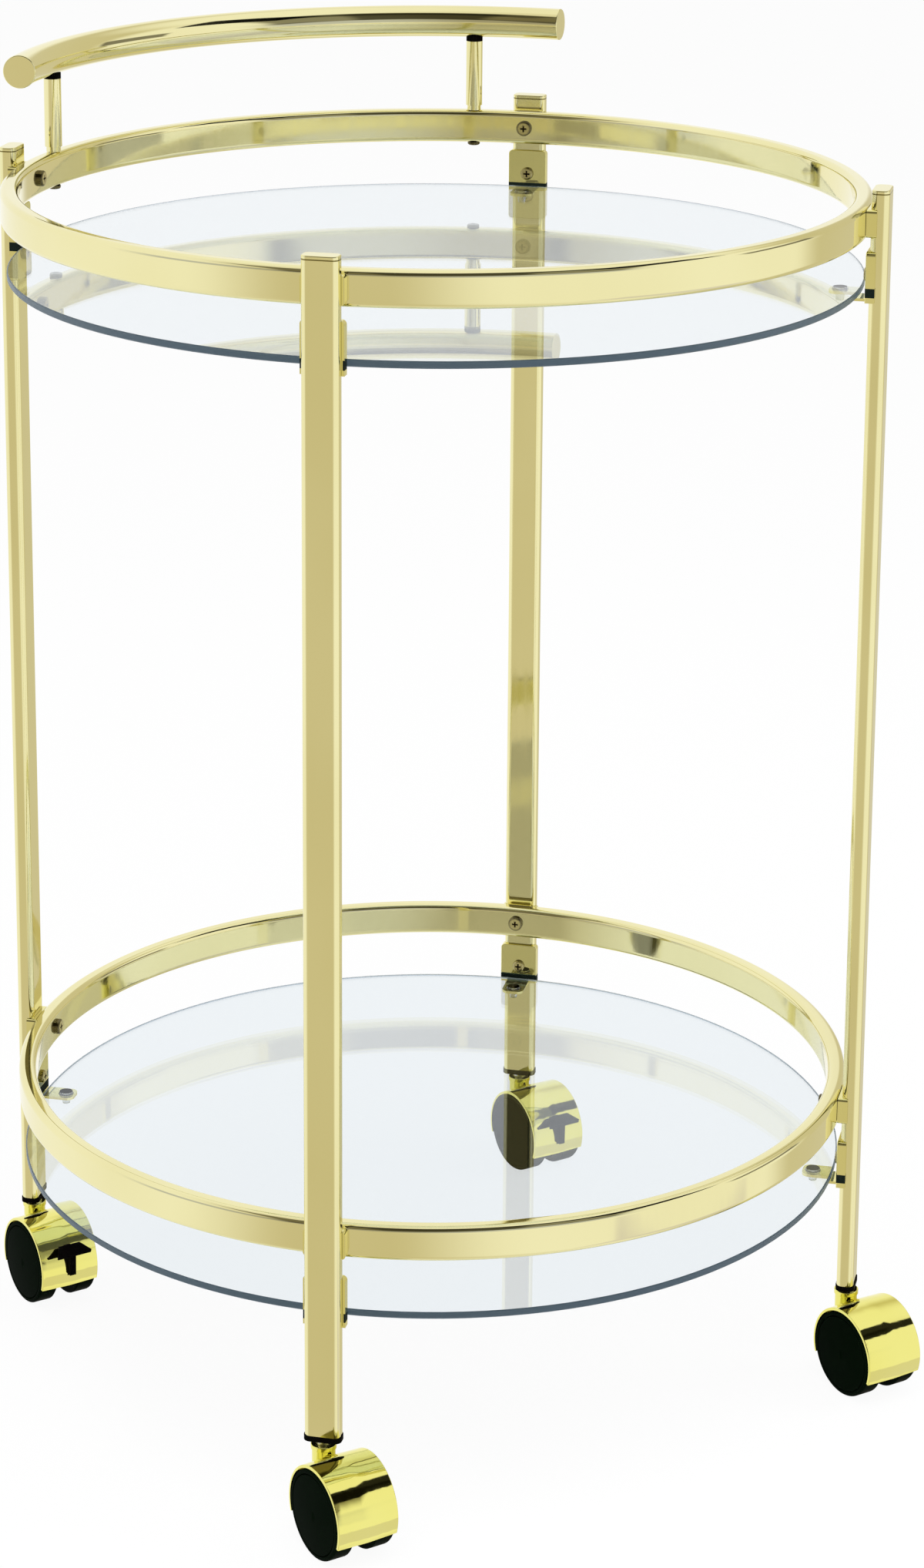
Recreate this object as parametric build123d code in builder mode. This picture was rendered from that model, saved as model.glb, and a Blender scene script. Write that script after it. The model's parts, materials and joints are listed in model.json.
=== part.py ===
from build123d import *

import os
from math import atan2, cos, degrees, hypot, radians, sin, sqrt

# Round two-tier bar cart: glass shelves in plated tube, a push handle and four hooded twin-wheel casters.
# Millimetres, +Z up. The origin is on the floor under the cart's axis, and the handle is at +Y.

# Flat-sided steel tube of the legs and the rails
tube_width = 20.0
tube_depth = 10.0
tube_corner = 3.5
tube_wall = 1.2

# Legs
leg_circle_diameter = 500.0
leg_length = 649.8
leg_angles = {"rear_right": 45, "rear_left": 135, "front_left": 225, "front_right": 315}
cap_thickness = 2.5
cap_edge_round = 0.7
cap_plug_depth = 9.0
foot_flange = 2.8
foot_flange_overhang = 0.5
foot_plug_depth = 24.0
plug_fit = 0.15

# Gallery rails, from the ends of the legs to the mid height of the rail's tube
upper_rail_drop = 18.5
lower_rail_rise = 110.5

# Glass shelves, from the mid height of their rail down to their top face
glass_thickness = 4.0
glass_edge_bevel = 0.6
glass_edge_gap = 3.3
upper_glass_drop = 37.0
lower_glass_drop = 40.5

# Shelf clips: a channel that wraps the leg, with a tongue under the glass
clip_sheet = 1.6
clip_rise = 21.5
clip_wrap = 3.6
clip_corner = 2.6
clip_edge_round = 0.5
clip_screw_rise = 7.0
tongue_length = 21.0
tongue_width = 14.0
tongue_tip_round = 4.5
sheet_fit = 0.1

# Soft pad let into the clip at the glass edge
pad_thickness = 1.0
pad_height = 5.2
pad_rise = 1.2

# Clear bumper on the tongue
bumper_head_radius = 4.6
bumper_head = 1.4
bumper_neck_radius = 2.2
bumper_nub_radius = 2.8
bumper_nub = 4.4
bumper_inset = 15.0

# Saddles between rail and leg
saddle_plate = 2.0
saddle_height = 15.5
saddle_corner = 2.0
saddle_fit = 0.15

# Pan-head screws
screw_hole_fit = 0.15
screw_dome = 1.1
recess_length = 4.0
recess_width = 1.0
recess_depth = 1.1
rail_screw_head_radius = 4.6
rail_screw_head = 2.4
rail_screw_radius = 2.0
rail_screw_length = 16.5
clip_screw_head_radius = 3.9
clip_screw_head = 2.0
clip_screw_radius = 1.75
clip_screw_length = 8.0
post_screw_head_radius = 3.8
post_screw_head = 2.0
post_screw_radius = 2.0
post_screw_length = 32.0
screw_seat_gap = 0.05

# Push handle, concentric with the rail
handle_tube_diameter = 19.0
handle_tube_wall = 1.2
handle_rise = 64.5
handle_half_angle = 49.6
handle_cap_thickness = 2.2
handle_cap_plug = 8.0
handle_cap_round = 0.6
handle_cap_fit = 0.3
post_half_angle = 37.2
post_diameter = 10.0
post_foot_diameter = 8.4
post_foot_height = 3.0
post_stud_radius = 2.0
post_stud_length = 7.0
washer_thickness = 2.4
handle_seat_gap = 0.05

# Casters: twin wheels each side of a web under a hood
wheel_diameter = 50.0
wheel_width = 11.8
wheel_side_gap = 0.5
wheel_rim_wall = 4.0
wheel_face_wall = 3.4
wheel_hub_radius = 6.5
wheel_tread_round = 1.6
wheel_cap_radius = 21.8
wheel_cap_step = 0.7
wheel_dome = 0.9
wheel_bore_bury = 1.0
web_thickness = 12.8
hood_gap = 0.5
hood_wall = 1.5
hood_crown = 0.6
hood_rim_round = 0.5
hood_front_angle = -19.0
hood_rear_angle = 200.0
axle_boss_radius = 8.0
axle_radius = 3.0
axle_fit = 0.03
axle_end_gap = 0.5
snap_groove_depth = 0.4
snap_groove_width = 1.2
snap_setback = 3.0
running_clearance = 0.05
snap_end_play = 0.1
trail = 21.0
neck_diameter = 12.9
neck_lip = 0.6
neck_lip_height = 3.0
neck_edge_round = 0.5
neck_base_rise = 6.0
swing_clearance = 4.7
stem_pin_radius = 3.0
stem_pin_bury = 2.5
stem_collar_radius = 4.5
stem_collar = 2.2
stem_thread_radius = 3.0
swivel_gap = 0.2

# Brake lever on the rear casters, by forward and upward distances from the axle
brake_angle = 12.0
brake_pivot = (6.2, 1.4)
brake_pin_radius = 1.2
brake_eye_radius = 2.4
brake_arm_width = 4.0
brake_slot_gap = 0.3
brake_slot_margin = 2.0
brake_bar_radius = 2.0
brake_bar_reach = 11.0
brake_bar_gap = 0.33
brake_bar_angle = 57.2
brake_rib_height = 3.0
brake_rib_low_angle = -1.0
brake_rib_high_angle = 22.0
brake_rib_rear_inset = 1.7
brake_rib_front_inset = 2.6
pedal_rear_width = 14.0
pedal_front_width = 23.0
pedal_length = 8.7
pedal_thickness = 2.0
pedal_stand_off = 1.6
pedal_angle = 33.5
pedal_slope = 18.5
pedal_round = 0.5

# How far a drilled hole starts outside the face it enters
drill_lead = 1.0

# Places that follow from the sizes above
leg_radius = leg_circle_diameter / 2
leg_inner_face = leg_radius - tube_depth / 2
rail_outer_radius = leg_inner_face - saddle_plate
rail_radius = rail_outer_radius - tube_depth / 2
rail_inner_radius = rail_outer_radius - tube_depth
clip_inner_face = leg_inner_face - sheet_fit - clip_sheet
glass_radius = clip_inner_face - glass_edge_gap
clip_outer_end = leg_inner_face + clip_wrap
clip_width = tube_width + 2 * (sheet_fit + clip_sheet)
tongue_top = -glass_thickness - bumper_head
clip_bottom = tongue_top - clip_sheet
bumper_radius = clip_inner_face - bumper_inset
wheel_radius = wheel_diameter / 2
axle_height = wheel_radius
wheel_inner_face = web_thickness / 2 + wheel_side_gap
wheel_outer_face = wheel_inner_face + wheel_width
wheel_bore_end = wheel_outer_face - wheel_face_wall + wheel_bore_bury
wheel_dome_radius = (wheel_cap_radius**2 + wheel_dome**2) / (2 * wheel_dome)
axle_half_length = wheel_bore_end - axle_end_gap
snap_groove_at = axle_half_length - snap_setback
hood_inner_radius = wheel_radius + hood_gap
hood_edge_radius = hood_inner_radius + hood_wall
hood_radius = hood_edge_radius + hood_crown
hood_half_width = wheel_outer_face - hood_rim_round / 2
hood_cut_reach = 3 * hood_radius
leg_corner_reach = hypot(tube_width / 2, tube_depth / 2) + foot_flange_overhang
hood_under_leg = sqrt(hood_radius**2 - (trail - leg_corner_reach) ** 2)
foot_bottom = axle_height + hood_under_leg + swing_clearance
leg_foot = foot_bottom + foot_flange
leg_top = leg_foot + leg_length
rail_heights = {"upper": leg_top - upper_rail_drop, "lower": leg_foot + lower_rail_rise}
glass_heights = {
    "upper": rail_heights["upper"] - upper_glass_drop,
    "lower": rail_heights["lower"] - lower_glass_drop,
}
neck_top = foot_bottom - stem_collar - swivel_gap
stem_pin_bottom = axle_height + stem_pin_bury
handle_tube_radius = handle_tube_diameter / 2
handle_height = rail_heights["upper"] + handle_rise
handle_underside = handle_height - handle_tube_radius
rail_top = rail_heights["upper"] + tube_width / 2
post_radius = post_diameter / 2
post_top = handle_underside - washer_thickness
washer_seat_rise = handle_tube_radius - sqrt(handle_tube_radius**2 - post_radius**2)
post_angles = {"right": 90 - post_half_angle, "left": 90 + post_half_angle}

# The caster is drawn with its swivel axis on Z and its axle along X, trailing towards -Y
axle_centre = Vector(0, -trail, axle_height)
axle_axis = Axis(axle_centre, (1, 0, 0))
along_axle = Plane(axle_centre, x_dir=(1, 0, 0), z_dir=(0, -1, 0))
caster_side = Plane(axle_centre, x_dir=(0, -1, 0), z_dir=(-1, 0, 0))

# A leg and what it carries are drawn on +X and turned to their place
leg_face = Plane((clip_outer_end, 0, 0), x_dir=(0, -1, 0), z_dir=(-1, 0, 0))


def polar(radius, angle):
    """Point at a radius and an angle, as forward and upward or as x and y."""
    return (radius * cos(radians(angle)), radius * sin(radians(angle)))


def facing_axis(angle, radius, height):
    """Plane on a leg's side of the cart that looks at the cart's axis."""
    x, y = polar(radius, angle)
    return Plane((x, y, height), x_dir=(sin(radians(angle)), -cos(radians(angle)), 0), z_dir=(-x, -y, 0))


def turned(angle, height=0.0):
    """Place of a piece drawn on +X when its leg stands at an angle."""
    return Location((0, 0, height), (0, 0, angle))


def save(part, node, place=Location()):
    """Write one piece as a node, moved to its place."""
    piece = part.moved(place)
    piece.label = node
    export_step(piece, f"parts/{node}.step")


def tube_section():
    """Hollow section of the frame tube, broad side along the sketch's Y."""
    RectangleRounded(tube_depth, tube_width, tube_corner)
    offset(amount=-tube_wall, mode=Mode.SUBTRACT)


def leg_column(clearance):
    """Outline of a leg on +X, grown by a clearance."""
    with Locations((leg_radius, 0)):
        RectangleRounded(tube_depth + 2 * clearance, tube_width + 2 * clearance, tube_corner + clearance)


def pad_band():
    """Band of the clip's sheet that the soft pad takes, as a U open away from the glass."""
    with Locations((clip_inner_face, 0)):
        Rectangle(clip_outer_end - clip_inner_face, clip_width, align=(Align.MIN, Align.CENTER))
    with Locations((clip_inner_face + pad_thickness, 0)):
        Rectangle(clip_outer_end, clip_width - 2 * pad_thickness, align=(Align.MIN, Align.CENTER),
                  mode=Mode.SUBTRACT)


def pan_screw(head_radius, head, radius, length):
    """Cross-recess pan-head screw, seat on the XY plane and head upwards."""
    with BuildPart() as screw:
        with BuildSketch():
            Circle(head_radius)
        extrude(amount=head)
        fillet(screw.faces().sort_by(Axis.Z)[-1].edges(), radius=screw_dome)
        with BuildSketch(Plane.XY.offset(head)):
            Rectangle(recess_length, recess_width)
            Rectangle(recess_width, recess_length)
        extrude(amount=-recess_depth, mode=Mode.SUBTRACT)
        with BuildSketch():
            Circle(radius)
        extrude(amount=-length)
    return screw.part


def group(piece, places):
    """Copies of one piece as separate solids of one node."""
    with BuildPart() as copies:
        with Locations(*places):
            add(piece)
    return copies.part


os.makedirs("parts", exist_ok=True)

# Rails: the tube bent to a closed ring, drilled at each leg and, above, at each handle post
for tier, height in rail_heights.items():
    with BuildPart() as rail:
        with BuildSketch(Plane.XZ) as rail_section:
            with Locations((rail_radius, height)):
                tube_section()
        revolve(axis=Axis.Z)
        drill_face = rail_inner_radius - drill_lead
        with Locations(*[facing_axis(a, drill_face, height) for a in leg_angles.values()]):
            Hole(rail_screw_radius + screw_hole_fit, depth=tube_depth + 2 * drill_lead)
        if tier == "upper":
            with Locations(*[(*polar(rail_radius, a), rail_top + drill_lead) for a in post_angles.values()]):
                Hole(post_screw_radius + screw_hole_fit, depth=tube_width + 2 * drill_lead)
    save(rail.part, f"{tier}_rail")

# Leg: straight tube, drilled through its inner wall for the rail and clip screws
with BuildPart() as leg:
    with BuildSketch(Plane.XY.offset(leg_foot)) as leg_section:
        with Locations((leg_radius, 0)):
            tube_section()
    extrude(amount=leg_length - cap_thickness)
    leg_drill_face = leg_inner_face - drill_lead
    with Locations(*[facing_axis(0, leg_drill_face, h) for h in rail_heights.values()]):
        Hole(rail_screw_radius + screw_hole_fit, depth=tube_wall + 2 * drill_lead)
    with Locations(*[facing_axis(0, leg_drill_face, h + clip_screw_rise) for h in glass_heights.values()]):
        Hole(clip_screw_radius + screw_hole_fit, depth=tube_wall + 2 * drill_lead)

# Cap in the top of the leg
with BuildPart() as leg_cap:
    with BuildSketch(Plane.XY.offset(leg_top - cap_thickness)):
        leg_column(0)
    extrude(amount=cap_thickness)
    fillet(leg_cap.faces().sort_by(Axis.Z)[-1].edges(), radius=cap_edge_round)
    with BuildSketch(Plane.XY.offset(leg_top - cap_thickness)):
        leg_column(-tube_wall - plug_fit)
    extrude(amount=-cap_plug_depth)

# Plug in the foot of the leg, bored for the caster's stem
with BuildPart() as foot_plug:
    with BuildSketch(Plane.XY.offset(foot_bottom)):
        leg_column(foot_flange_overhang)
    extrude(amount=foot_flange)
    with BuildSketch(Plane.XY.offset(leg_foot)):
        leg_column(-tube_wall - plug_fit)
    extrude(amount=foot_plug_depth)
    with Locations((leg_radius, 0, leg_foot + foot_plug_depth)):
        Hole(stem_thread_radius + plug_fit)

for corner, angle in leg_angles.items():
    save(leg.part, f"{corner}_leg", turned(angle))
    save(leg_cap.part, f"{corner}_leg_cap", turned(angle))
    save(foot_plug.part, f"{corner}_foot_plug", turned(angle))

# Glass shelf with a bevelled edge
with BuildPart() as glass:
    with BuildSketch():
        Circle(glass_radius)
    extrude(amount=-glass_thickness)
    chamfer(glass.edges(), length=glass_edge_bevel)

# Shelf clip: channel round the leg's inner side, tongue below, groove for the pad
with BuildPart() as clip:
    with BuildSketch(leg_face) as clip_front:
        with Locations((0, (clip_rise + clip_bottom) / 2)):
            Rectangle(clip_width, clip_rise - clip_bottom)
        fillet(clip_front.vertices().group_by(Axis.Y)[-1], radius=clip_corner)
    extrude(amount=clip_outer_end - clip_inner_face)
    fillet(clip.faces().sort_by(Axis.X)[0].edges().sort_by(Axis.Z)[1:], radius=clip_edge_round)
    with BuildSketch(Plane.XY.offset(clip_bottom)):
        leg_column(sheet_fit)
    extrude(amount=clip_rise - clip_bottom, mode=Mode.SUBTRACT)
    with BuildSketch(Plane.XY.offset(clip_bottom)) as tongue:
        with Locations((clip_inner_face + clip_sheet / 2, 0)):
            Rectangle(tongue_length + clip_sheet / 2, tongue_width, align=(Align.MAX, Align.CENTER))
        fillet(tongue.vertices().group_by(Axis.X)[0], radius=tongue_tip_round)
    extrude(amount=clip_sheet)
    with BuildSketch(Plane.XY.offset(pad_rise - pad_height)):
        pad_band()
    extrude(amount=pad_height, mode=Mode.SUBTRACT)
    with Locations(facing_axis(0, clip_inner_face - drill_lead, clip_screw_rise)):
        Hole(clip_screw_radius + screw_hole_fit, depth=clip_sheet + 2 * drill_lead)
    with Locations((bumper_radius, 0, tongue_top + drill_lead)):
        Hole(bumper_neck_radius + sheet_fit, depth=clip_sheet + 2 * drill_lead)

# Soft pad flush in the clip's groove
with BuildPart() as pad:
    with BuildSketch(Plane.XY.offset(pad_rise - pad_height)):
        pad_band()
    extrude(amount=pad_height)
    fillet(pad.edges().filter_by(Axis.Z).group_by(Axis.X)[0], radius=clip_edge_round)

# Clear bumper pushed through the tongue, with a nub below
with BuildPart() as bumper:
    with BuildSketch(Plane.XZ):
        with BuildLine():
            Polyline(
                (bumper_radius, -glass_thickness),
                (bumper_radius + bumper_head_radius - bumper_head / 2, -glass_thickness),
                (bumper_radius + bumper_head_radius, tongue_top),
                (bumper_radius + bumper_neck_radius, tongue_top),
                (bumper_radius + bumper_neck_radius, clip_bottom),
                (bumper_radius + bumper_nub_radius, clip_bottom),
                (bumper_radius + bumper_neck_radius, clip_bottom - bumper_nub),
                (bumper_radius, clip_bottom - bumper_nub),
                close=True,
            )
        make_face()
    revolve(axis=Axis((bumper_radius, 0, 0), (0, 0, 1)))

for tier, height in glass_heights.items():
    save(glass.part, f"{tier}_glass_shelf", turned(0, height))
    for corner, angle in leg_angles.items():
        save(clip.part, f"{tier}_{corner}_shelf_clip", turned(angle, height))
shelf_places = [turned(a, h) for h in glass_heights.values() for a in leg_angles.values()]
save(group(pad.part, shelf_places), "clip_edge_pads")
save(group(bumper.part, shelf_places), "glass_bumpers")

# Saddle between rail and leg, hollowed to both
with BuildPart() as saddle:
    with BuildSketch(leg_face):
        RectangleRounded(clip_width, saddle_height, saddle_corner)
    extrude(amount=clip_outer_end - rail_inner_radius)
    with BuildSketch(Plane.XY.offset(-saddle_height / 2)):
        leg_column(sheet_fit)
        Circle(rail_outer_radius + saddle_fit)
    extrude(amount=saddle_height, mode=Mode.SUBTRACT)
    with Locations(facing_axis(0, rail_outer_radius - drill_lead, 0)):
        Hole(rail_screw_radius + screw_hole_fit, depth=saddle_plate + 2 * drill_lead)
saddle_places = [turned(a, h) for h in rail_heights.values() for a in leg_angles.values()]
save(group(saddle.part, saddle_places), "rail_saddles")

# Fasteners
rail_screw = pan_screw(rail_screw_head_radius, rail_screw_head, rail_screw_radius, rail_screw_length)
rail_screw_seat = sqrt(rail_inner_radius**2 - rail_screw_head_radius**2) - screw_seat_gap
rail_screw_places = [
    facing_axis(a, rail_screw_seat, h) for h in rail_heights.values() for a in leg_angles.values()
]
save(group(rail_screw, rail_screw_places), "rail_screws")
clip_screw = pan_screw(clip_screw_head_radius, clip_screw_head, clip_screw_radius, clip_screw_length)
clip_screw_places = [
    facing_axis(a, clip_inner_face, h + clip_screw_rise)
    for h in glass_heights.values()
    for a in leg_angles.values()
]
save(group(clip_screw, clip_screw_places), "clip_screws")
post_screw = pan_screw(post_screw_head_radius, post_screw_head, post_screw_radius, post_screw_length)
post_screw_places = [
    Plane((*polar(rail_radius, a), rail_top - tube_width), z_dir=(0, 0, -1)) for a in post_angles.values()
]
save(group(post_screw, post_screw_places), "post_screws")

# Handle: round tube bent round the cart's axis, with a drilled seat at each post
handle_start = 90 - handle_half_angle
handle_end_face = Plane.XZ.rotated((0, 0, handle_start))
with BuildPart() as handle_tube:
    with BuildSketch(handle_end_face):
        with Locations((rail_radius, handle_height)):
            Circle(handle_tube_radius)
            Circle(handle_tube_radius - handle_tube_wall, mode=Mode.SUBTRACT)
    revolve(axis=Axis.Z, revolution_arc=2 * handle_half_angle)
    with Locations(*[(*polar(rail_radius, a), handle_height) for a in post_angles.values()]):
        Hole(post_stud_radius + screw_hole_fit, depth=2 * handle_tube_radius)
save(handle_tube.part, "handle_tube")

# Flat cap in each end of the handle tube
with BuildPart() as handle_cap:
    with BuildSketch():
        Circle(handle_tube_radius)
    extrude(amount=handle_cap_thickness)
    fillet(handle_cap.faces().sort_by(Axis.Z)[-1].edges(), radius=handle_cap_round)
    with BuildSketch():
        Circle(handle_tube_radius - handle_tube_wall - handle_cap_fit)
    extrude(amount=-handle_cap_plug)
for side, way in (("right", -1), ("left", 1)):
    end_angle = 90 + way * handle_half_angle
    end = Plane((*polar(rail_radius, end_angle), handle_height), z_dir=(*polar(1, end_angle + way * 90), 0))
    save(handle_cap.part, f"handle_end_cap_{side}", end.location)

# Post between rail and handle: drilled foot, stud on top
with BuildPart() as post:
    with BuildSketch(Plane.XY.offset(rail_top)):
        Circle(post_foot_diameter / 2)
    extrude(amount=post_foot_height)
    with BuildSketch(Plane.XY.offset(rail_top + post_foot_height)):
        Circle(post_radius)
    extrude(amount=post_top - rail_top - post_foot_height)
    with BuildSketch(Plane.XY.offset(post_top)):
        Circle(post_stud_radius)
    extrude(amount=post_stud_length)
    with Locations(Plane((0, 0, rail_top), z_dir=(0, 0, -1))):
        Hole(post_screw_radius + screw_hole_fit, depth=post_screw_length - tube_width + drill_lead)
for side, angle in post_angles.items():
    save(post.part, f"handle_post_{side}", Location((*polar(rail_radius, angle), 0)))

# Washers hollowed to the handle tube
with BuildPart() as washers:
    with Locations(*[(*polar(rail_radius, a), post_top) for a in post_angles.values()]):
        Cylinder(post_radius, washer_thickness + washer_seat_rise,
                 align=(Align.CENTER, Align.CENTER, Align.MIN))
        Cylinder(post_stud_radius + screw_hole_fit, handle_tube_diameter, mode=Mode.SUBTRACT)
    with Locations((0, 0, handle_height)):
        Torus(rail_radius, handle_tube_radius + handle_seat_gap, mode=Mode.SUBTRACT)
save(washers.part, "handle_washers")


def brake_places():
    """Brake bar at rest and with the lever up, as points on the caster's side."""
    bar_radius = wheel_radius - wheel_rim_wall - brake_bar_gap - brake_bar_radius
    down = Vector(*polar(bar_radius, brake_bar_angle))
    pivot = Vector(*brake_pivot)
    return down, pivot + (down - pivot).rotate(Axis.Z, brake_angle)


def caster_hood(braked):
    """Hood, web and neck of a caster; a braked one is slotted for its lever."""
    with BuildPart() as hood:
        with BuildSketch(along_axle):
            with BuildLine():
                Polyline(
                    (-hood_half_width, 0),
                    (hood_half_width, 0),
                    (hood_half_width, hood_edge_radius),
                    (0, hood_radius),
                    (-hood_half_width, hood_edge_radius),
                    close=True,
                )
            make_face()
        revolve(axis=axle_axis)
        rims = hood.edges().filter_by(GeomType.CIRCLE).group_by(Axis.X)
        fillet(rims[0] + rims[-1], radius=hood_rim_round)
        with BuildSketch(caster_side):
            with BuildLine():
                Polyline(
                    (0, 0),
                    polar(hood_cut_reach, hood_front_angle),
                    (0, -hood_cut_reach),
                    polar(hood_cut_reach, hood_rear_angle),
                    close=True,
                )
            make_face()
        extrude(amount=2 * hood_half_width, both=True, mode=Mode.SUBTRACT)
        with BuildSketch(Plane.XY.offset(axle_height + neck_base_rise)):
            Circle(neck_diameter / 2)
        extrude(amount=neck_top - axle_height - neck_base_rise)
        with BuildSketch(Plane.XY.offset(neck_top - neck_lip_height)):
            Circle(neck_diameter / 2 + neck_lip)
        extrude(amount=neck_lip_height)
        lip_faces = hood.faces().filter_by(Axis.Z).sort_by(Axis.Z)
        fillet(lip_faces[-1].edges() + lip_faces[-2].outer_wire().edges(), radius=neck_edge_round)
        for way in (1, -1):
            with BuildSketch(caster_side.offset(way * web_thickness / 2)):
                Circle(hood_inner_radius)
            extrude(amount=way * wheel_outer_face, mode=Mode.SUBTRACT)
        with BuildSketch(caster_side):
            Circle(axle_boss_radius)
        extrude(amount=web_thickness / 2, both=True)
        with BuildSketch(caster_side):
            Circle(axle_radius + axle_fit)
        extrude(amount=web_thickness, both=True, mode=Mode.SUBTRACT)
        with Locations((0, 0, neck_top)):
            Hole(stem_pin_radius + running_clearance, depth=neck_top - stem_pin_bottom + swivel_gap)
        if braked:
            slot_width = brake_arm_width + 2 * brake_slot_gap
            slot_low = brake_rib_low_angle - brake_slot_margin
            slot_high = brake_rib_high_angle + brake_angle + brake_slot_margin
            eye = brake_eye_radius + brake_slot_gap
            bar = brake_bar_radius + brake_slot_gap
            down, up = brake_places()
            with BuildSketch(caster_side):
                with Locations(brake_pivot):
                    Circle(eye)
                with BuildLine():
                    Polyline(
                        (brake_pivot[0], brake_pivot[1] - eye),
                        polar(hood_inner_radius, slot_low),
                        polar(hood_inner_radius, slot_high),
                        (down.X + bar, up.Y + bar),
                        (brake_pivot[0] - eye, up.Y + bar),
                        (brake_pivot[0] - eye, brake_pivot[1]),
                        close=True,
                    )
                make_face()
            extrude(amount=slot_width / 2, both=True, mode=Mode.SUBTRACT)
            with BuildSketch(caster_side):
                with BuildLine():
                    Polyline(
                        polar(axle_boss_radius, slot_low),
                        polar(hood_cut_reach, slot_low),
                        polar(hood_cut_reach, slot_high),
                        polar(axle_boss_radius, slot_high),
                        close=True,
                    )
                make_face()
            extrude(amount=slot_width / 2, both=True, mode=Mode.SUBTRACT)
            with BuildSketch(caster_side):
                middle = (down + up) / 2
                tilt = degrees(atan2(down.Y - up.Y, down.X - up.X))
                with Locations((middle.X, middle.Y)):
                    SlotCenterToCenter((down - up).length, 2 * bar, rotation=tilt)
            extrude(amount=web_thickness, both=True, mode=Mode.SUBTRACT)
            with BuildSketch(caster_side):
                with Locations(brake_pivot):
                    Circle(brake_pin_radius + axle_fit)
            extrude(amount=web_thickness, both=True, mode=Mode.SUBTRACT)
    return hood.part


# Stem: thread in the foot plug, collar over the neck, pin in the neck's bore
with BuildPart() as stem:
    for bottom, top, radius in (
        (stem_pin_bottom, neck_top + swivel_gap, stem_pin_radius),
        (neck_top + swivel_gap, foot_bottom, stem_collar_radius),
        (foot_bottom, leg_foot + foot_plug_depth, stem_thread_radius),
    ):
        with Locations((0, 0, bottom)):
            Cylinder(radius, top - bottom, align=(Align.CENTER, Align.CENTER, Align.MIN))

# Axle with a snap groove near each end
with BuildPart() as axle:
    with BuildSketch(along_axle):
        with Locations((-axle_half_length, 0)):
            Rectangle(2 * axle_half_length, axle_radius, align=Align.MIN)
        for way in (1, -1):
            with Locations((way * snap_groove_at, axle_radius)):
                Rectangle(snap_groove_width, 2 * snap_groove_depth, mode=Mode.SUBTRACT)
    revolve(axis=axle_axis)

# Wheel: cup with a stepped, domed face; a lip in its bore snaps into the axle's groove
with BuildPart() as wheel:
    bore_radius = axle_radius + running_clearance
    lip_radius = axle_radius - snap_groove_depth + running_clearance
    lip_half = snap_groove_width / 2 - snap_end_play
    rim_inside = wheel_radius - wheel_rim_wall
    cup_end = wheel_outer_face - wheel_face_wall
    with BuildSketch(along_axle) as wheel_section:
        with BuildLine():
            tread = Polyline(
                (wheel_inner_face, rim_inside),
                (wheel_inner_face, wheel_radius - wheel_tread_round / 2),
                (wheel_inner_face + wheel_tread_round / 2, wheel_radius),
                (wheel_outer_face - wheel_tread_round, wheel_radius),
            )
            shoulder = RadiusArc(
                tread @ 1, (wheel_outer_face, wheel_radius - wheel_tread_round), wheel_tread_round
            )
            step = Polyline(
                shoulder @ 1,
                (wheel_outer_face, wheel_cap_radius + wheel_cap_step),
                (wheel_outer_face - wheel_cap_step, wheel_cap_radius + wheel_cap_step / 2),
                (wheel_outer_face, wheel_cap_radius),
            )
            dome = RadiusArc(step @ 1, (wheel_outer_face + wheel_dome, 0), wheel_dome_radius)
            Polyline(
                dome @ 1,
                (wheel_bore_end, 0),
                (wheel_bore_end, bore_radius),
                (snap_groove_at + lip_half, bore_radius),
                (snap_groove_at + lip_half, lip_radius),
                (snap_groove_at - lip_half, lip_radius),
                (snap_groove_at - lip_half, bore_radius),
                (wheel_inner_face, bore_radius),
                (wheel_inner_face, wheel_hub_radius),
                (cup_end, wheel_hub_radius),
                (cup_end, rim_inside),
                (wheel_inner_face, rim_inside),
            )
        make_face()
    revolve(axis=axle_axis)

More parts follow.
